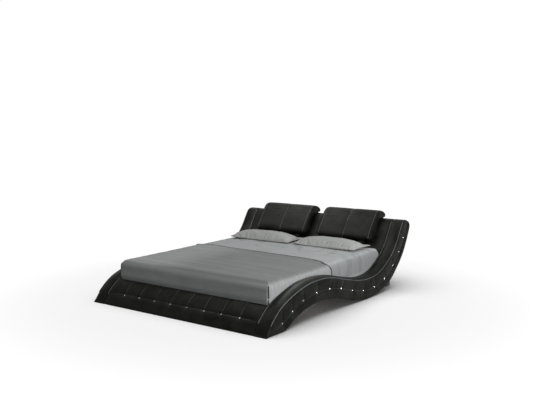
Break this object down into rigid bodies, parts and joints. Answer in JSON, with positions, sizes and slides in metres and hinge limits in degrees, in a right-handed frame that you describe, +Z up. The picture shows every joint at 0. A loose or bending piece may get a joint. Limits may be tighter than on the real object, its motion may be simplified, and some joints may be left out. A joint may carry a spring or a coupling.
{
  "type": "leather platform bed",
  "caption": "Low double bed with padded wave-shaped leather rails, button-tufted sides, hinged headrests, slatted base, mattress and bedding.",
  "frame": {"origin": "on the floor under the centre of the bed's bounding box", "axes": "+X across the bed to the right as seen from the foot end, +Y from the foot end to the headboard, +Z up"},
  "size_m": [2.086, 2.62, 0.7897],
  "materials": {
    "leather": "black semi-gloss leather over foam padding",
    "plywood": "raw plywood",
    "black_plywood": "plywood stained black where it shows beside the mattress",
    "pine": "planed softwood",
    "steel": "zinc-plated",
    "black_steel": "black powder coat",
    "plastic": "moulded",
    "crystal": "clear faceted crystal on a tufting cord",
    "ticking": "woven ticking",
    "sheet": "grey cotton",
    "coverlet": "darker grey cotton"
  },
  "bodies": {
    "bed": {"left_rail_upholstery": "leather", "left_rail_frame": "plywood", "left_rail_inner_panel": "black_plywood", "left_rail_button_row": "crystal", "left_inner_hinge_base": "black_steel", "left_inner_hinge_pin": "black_steel", "left_outer_hinge_base": "black_steel", "left_outer_hinge_pin": "black_steel", "left_side_ledger": "pine", "left_foot_bracket": "steel", "left_head_bracket": "steel", "left_rear_foot": "plastic", "left_pillow": "sheet", "right_rail_upholstery": "leather", "right_rail_frame": "plywood", "right_rail_inner_panel": "black_plywood", "right_rail_button_row": "crystal", "right_inner_hinge_base": "black_steel", "right_inner_hinge_pin": "black_steel", "right_outer_hinge_base": "black_steel", "right_outer_hinge_pin": "black_steel", "right_side_ledger": "pine", "right_foot_bracket": "steel", "right_head_bracket": "steel", "right_rear_foot": "plastic", "right_pillow": "sheet", "footboard_upholstery": "leather", "footboard_frame": "plywood", "footboard_button_row": "crystal", "headboard_upholstery": "leather", "headboard_frame": "black_plywood", "centre_beam": "pine", "centre_leg_1": "black_steel", "levelling_foot_1": "plastic", "centre_leg_2": "black_steel", "levelling_foot_2": "plastic", "slat_1": "pine", "slat_2": "pine", "slat_3": "pine", "slat_4": "pine", "slat_5": "pine", "slat_6": "pine", "slat_7": "pine", "slat_8": "pine", "slat_9": "pine", "slat_10": "pine", "slat_11": "pine", "mattress": "ticking", "fitted_sheet": "sheet", "coverlet": "coverlet"},
    "left_headrest": {"left_headrest_cushion": "leather", "left_headrest_board": "plywood", "left_inner_hinge_arm": "black_steel", "left_outer_hinge_arm": "black_steel"},
    "right_headrest": {"right_headrest_cushion": "leather", "right_headrest_board": "plywood", "right_inner_hinge_arm": "black_steel", "right_outer_hinge_arm": "black_steel"}
  },
  "joints": [
    {"name": "left_headrest_tilt", "type": "hinge", "parent": "bed", "child": "left_headrest", "pos_m": [-0.406, 0.9594, 0.45806], "axis": [1, 0, 0], "range_deg": [0, 33]},
    {"name": "right_headrest_tilt", "type": "hinge", "parent": "bed", "child": "right_headrest", "pos_m": [0.434, 0.9594, 0.45806], "axis": [1, 0, 0], "range_deg": [0, 33]}
  ]
}
